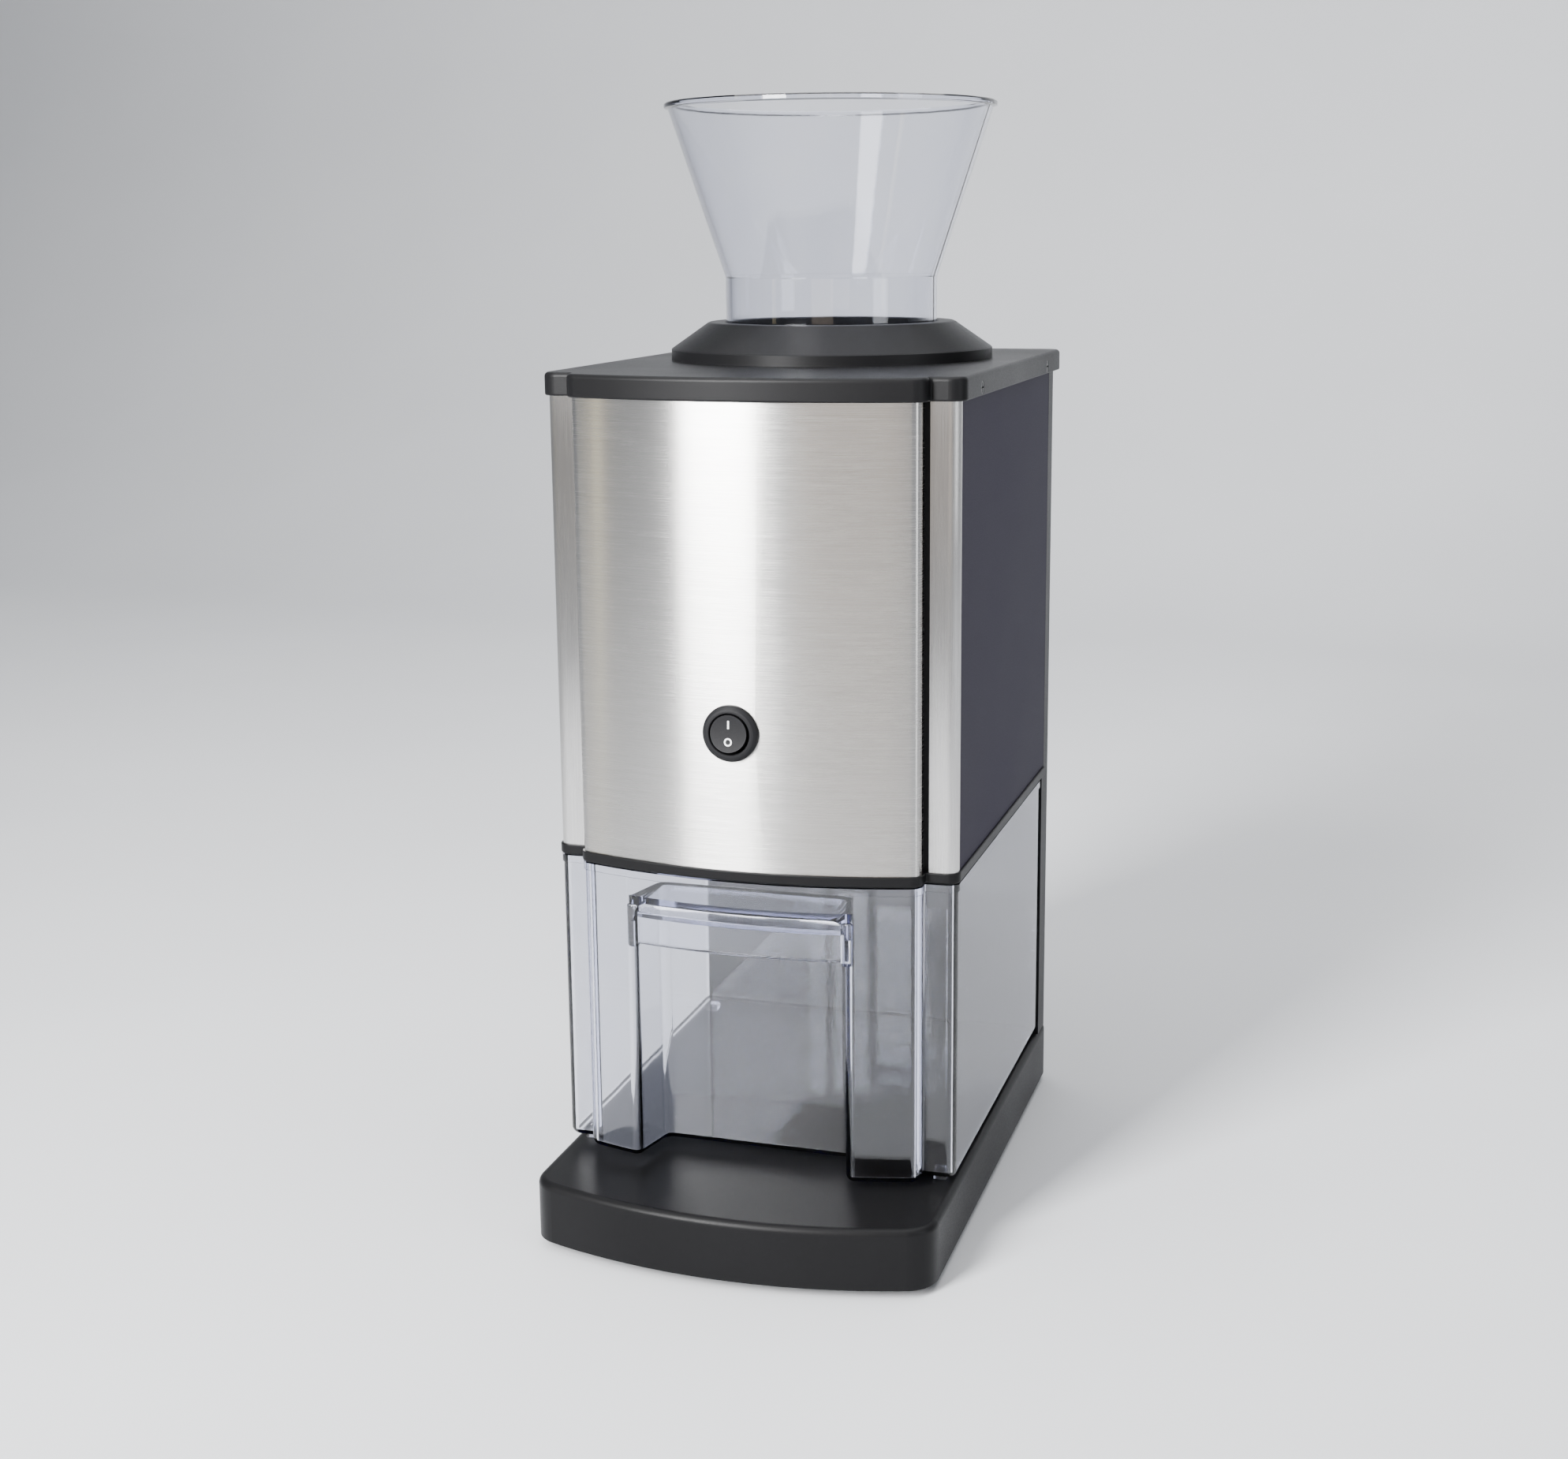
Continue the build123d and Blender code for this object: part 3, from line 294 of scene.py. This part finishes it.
# One material for each slot of the record.
MATERIALS = {
    "brushed_steel": brushed_steel("brushed_steel", PANEL_TONE, LEVEL_BRUSHING),
    "plain_steel": machined_steel("plain_steel", (0.60, 0.60, 0.61)),
    "zinc_screw": machined_steel("zinc_screw", (0.55, 0.56, 0.58), roughness=0.35),
    "black_screw": cast_surface("black_screw", (0.03, 0.03, 0.03), metallic=0.8, roughness=0.35),
    "black_plastic": moulded_plastic("black_plastic", BLACK, roughness=0.38),
    "frame_plastic": moulded_plastic("frame_plastic", (0.014, 0.014, 0.015), roughness=0.5),
    "switch_black": moulded_plastic(
        "switch_black", (0.009, 0.009, 0.010), roughness=0.48, grain=1900.0, depth=0.35, edge_highlight_and_wear=0.2
    ),
    "charcoal_panel": lacquered_panel("charcoal_panel", (0.020, 0.017, 0.031)),
    "clear_plastic": clear_plastic("clear_plastic", CLEAR_TINT, CLEAR_ABSORB, CLEAR_DENSITY),
    "rubber": rubber("rubber", (0.02, 0.02, 0.02)),
    "bronze": cast_surface("bronze", (0.50, 0.32, 0.16), metallic=1.0, roughness=0.4),
    "blade_steel": machined_steel("blade_steel", (0.52, 0.52, 0.53), roughness=0.3),
    "gear_nylon": moulded_plastic(
        "gear_nylon", (0.70, 0.68, 0.61), roughness=0.45, grain=900.0, depth=0.1, edge_highlight_and_wear=0.1
    ),
    "gear_steel": machined_steel("gear_steel", (0.45, 0.45, 0.46), roughness=0.35),
    "can_steel": cast_surface("can_steel", (0.36, 0.37, 0.38), metallic=0.9, roughness=0.4),
    "magnet": cast_surface("magnet", (0.07, 0.07, 0.075), metallic=0.2, roughness=0.6),
    "carbon": cast_surface("carbon", (0.03, 0.03, 0.03), metallic=0.0, roughness=0.7),
    "winding": cast_surface("winding", (0.55, 0.24, 0.10), metallic=0.7, roughness=0.4),
    "copper": machined_steel("copper", (0.75, 0.42, 0.27), roughness=0.3),
    "wire_pvc": moulded_plastic(
        "wire_pvc", (0.03, 0.03, 0.033), roughness=0.5, grain=700.0, depth=0.1, edge_highlight_and_wear=0.0
    ),
}


def dress_nodes():
    """Give each CAD node its slot's material. The corner strips are brushed along their length."""
    strip_steel = brushed_steel("strip_steel", STRIP_TONE, UPRIGHT_BRUSHING)
    for part in frame["record"]["subparts"]:
        name = part["node"]
        material = strip_steel if name.startswith("corner_strip") else MATERIALS[part["material_slot"]]
        nodes[name].data.materials.clear()
        nodes[name].data.materials.append(material)


# ---------------------------------------------------------------- rocker marks

PRINT = 0.00005
I_HEIGHT = 0.0033
I_WIDTH = 0.0007
I_ABOVE = 0.0039
I_STEPS = 8
O_RADIUS = 0.00162
O_STROKE = 0.0006
O_BELOW = 0.0030
O_STEPS = 40
CLEAR_OF_FRONT = 0.1


def on_rocker(x, z):
    """Point of the rocker's front surface behind (x, z)."""
    front = Vector((x, cad_bounds[0][1] - CLEAR_OF_FRONT, z))
    hit, place, _, _ = nodes["rocker"].ray_cast(front, Vector((0, 1, 0)))
    assert hit, "the mark misses the rocker"
    return place


def printed_mark(name, left, right, closed, material):
    """Thin print laid on the rocker between two rows of (x, z) points."""
    mesh = bmesh.new()
    half_print = Vector((0, PRINT, 0))
    rows = []
    for pair in zip(left, right):
        row = []
        for x, z in pair:
            place = on_rocker(x, z)
            row.append(mesh.verts.new(place - half_print))
            row.append(mesh.verts.new(place + half_print))
        rows.append(row)
    steps = list(zip(rows, rows[1:]))
    if closed:
        steps.append((rows[-1], rows[0]))
    for one, other in steps:
        for a, b in ((0, 2), (2, 3), (3, 1), (1, 0)):
            mesh.faces.new((one[a], one[b], other[b], other[a]))
    if not closed:
        for row in (rows[0], rows[-1]):
            mesh.faces.new((row[0], row[2], row[3], row[1]))
    bmesh.ops.recalc_face_normals(mesh, faces=mesh.faces)
    data = bpy.data.meshes.new(name)
    mesh.to_mesh(data)
    mesh.free()
    data.materials.append(material)
    thing = bpy.data.objects.new(name, data)
    bpy.context.scene.collection.objects.link(thing)
    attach(thing, "rocker")


def circle(x, z, radius):
    angles = [2 * math.pi * step / O_STEPS for step in range(O_STEPS)]
    return [(x + radius * math.cos(angle), z + radius * math.sin(angle)) for angle in angles]


def rocker_marks():
    low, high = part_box("rocker")
    x = (low[0] + high[0]) / 2
    z = (low[2] + high[2]) / 2
    material = white_print("mark_white")
    heights = [z + I_ABOVE + I_HEIGHT * (step / I_STEPS - 0.5) for step in range(I_STEPS + 1)]
    left = [(x - I_WIDTH / 2, height) for height in heights]
    right = [(x + I_WIDTH / 2, height) for height in heights]
    printed_mark("mark_on", left, right, False, material)
    inner = circle(x, z - O_BELOW, O_RADIUS - O_STROKE)
    outer = circle(x, z - O_BELOW, O_RADIUS)
    printed_mark("mark_off", inner, outer, True, material)


# ---------------------------------------------------------------- studio

SWEEP_HALF_WIDTH = 5.0
SWEEP_FRONT = -4.0
SWEEP_BEND = 1.3
SWEEP_RADIUS = 0.9
SWEEP_TOP = 3.2
SWEEP_STEPS = 24


def sweep():
    """Floor that curves up into a backdrop behind the machine."""
    profile = [(SWEEP_FRONT, 0.0)]
    for step in range(SWEEP_STEPS + 1):
        angle = math.radians(90 * step / SWEEP_STEPS)
        y = SWEEP_BEND + SWEEP_RADIUS * math.sin(angle)
        z = SWEEP_RADIUS - SWEEP_RADIUS * math.cos(angle)
        profile.append((y, z))
    profile.append((SWEEP_BEND + SWEEP_RADIUS, SWEEP_TOP))
    points = [(x, y, z) for y, z in profile for x in (-SWEEP_HALF_WIDTH, SWEEP_HALF_WIDTH)]
    faces = [(2 * i, 2 * i + 1, 2 * i + 3, 2 * i + 2) for i in range(len(profile) - 1)]
    mesh = bpy.data.meshes.new("sweep")
    mesh.from_pydata(points, [], faces)
    mesh.polygons.foreach_set("use_smooth", [True] * len(faces))
    mesh.materials.append(floor_material("studio_floor"))
    thing = bpy.data.objects.new("sweep", mesh)
    bpy.context.scene.collection.objects.link(thing)


def area_light(name, place, target, size, power, colour=(1, 1, 1), spread=180):
    lamp = bpy.data.lights.new(name, "AREA")
    lamp.spread = math.radians(spread)
    lamp.shape = "RECTANGLE"
    lamp.size, lamp.size_y = size
    lamp.energy = power
    lamp.color = colour
    thing = bpy.data.objects.new(name, lamp)
    thing.location = place
    thing.rotation_euler = (Vector(target) - Vector(place)).to_track_quat("-Z", "Y").to_euler()
    bpy.context.scene.collection.objects.link(thing)


def studio():
    """A key light and two weaker tall ones that show as bands in the steel, and soft light around."""
    sweep()
    world = bpy.data.worlds.new("studio")
    world.use_nodes = True
    background = world.node_tree.nodes["Background"]
    background.inputs["Color"].default_value = (0.80, 0.84, 0.92, 1)
    background.inputs["Strength"].default_value = 0.26
    bpy.context.scene.world = world
    middle = (0, 0, 0.25)
    area_light("key_front", (-0.492, -1.252, 1.00), (0, 0, 0.60), (0.42, 1.3), 46, spread=110)
    area_light("soft_top", (0.0, 0.2, 2.3), middle, (2.4, 2.4), 78)
    area_light("side_right", (1.5, -0.5, 0.7), middle, (0.5, 1.3), 8, (0.95, 0.97, 1.0))
    area_light("front_warm", (0.20, -1.80, 0.85), (0, 0, 0.55), (0.80, 1.7), 4, (1.0, 0.82, 0.64))
    area_light("left_gold", (-1.07, -0.90, 0.80), (0, 0, 0.50), (0.06, 1.6), 0.7, (1.0, 0.86, 0.52))


# ---------------------------------------------------------------- camera

CAMERA_PLACE = Vector((0.2684, -0.8821, 0.4140))
CAMERA_YAW = math.radians(16.97)
CAMERA_PITCH = math.radians(-11.46)
CAMERA_ROLL = math.radians(-0.46)
CAMERA_LENS = 49.45
CAMERA_SHIFT = (-0.0131, -0.0377)


def camera():
    forward = Vector((
        -math.sin(CAMERA_YAW) * math.cos(CAMERA_PITCH),
        math.cos(CAMERA_YAW) * math.cos(CAMERA_PITCH),
        math.sin(CAMERA_PITCH),
    ))
    level_right = forward.cross(Vector((0, 0, 1))).normalized()
    level_up = level_right.cross(forward)
    right = math.cos(CAMERA_ROLL) * level_right + math.sin(CAMERA_ROLL) * level_up
    up = -math.sin(CAMERA_ROLL) * level_right + math.cos(CAMERA_ROLL) * level_up
    data = bpy.data.cameras.new("camera")
    data.sensor_width = 36
    data.lens = CAMERA_LENS
    data.shift_x, data.shift_y = CAMERA_SHIFT
    data.dof.use_dof = False
    data.clip_start = 0.01
    thing = bpy.data.objects.new("camera", data)
    axes = Matrix((right, up, -forward)).transposed()
    thing.matrix_world = Matrix.Translation(CAMERA_PLACE) @ axes.to_4x4()
    bpy.context.scene.collection.objects.link(thing)
    bpy.context.scene.camera = thing


dress_nodes()
rocker_marks()
studio()
camera()
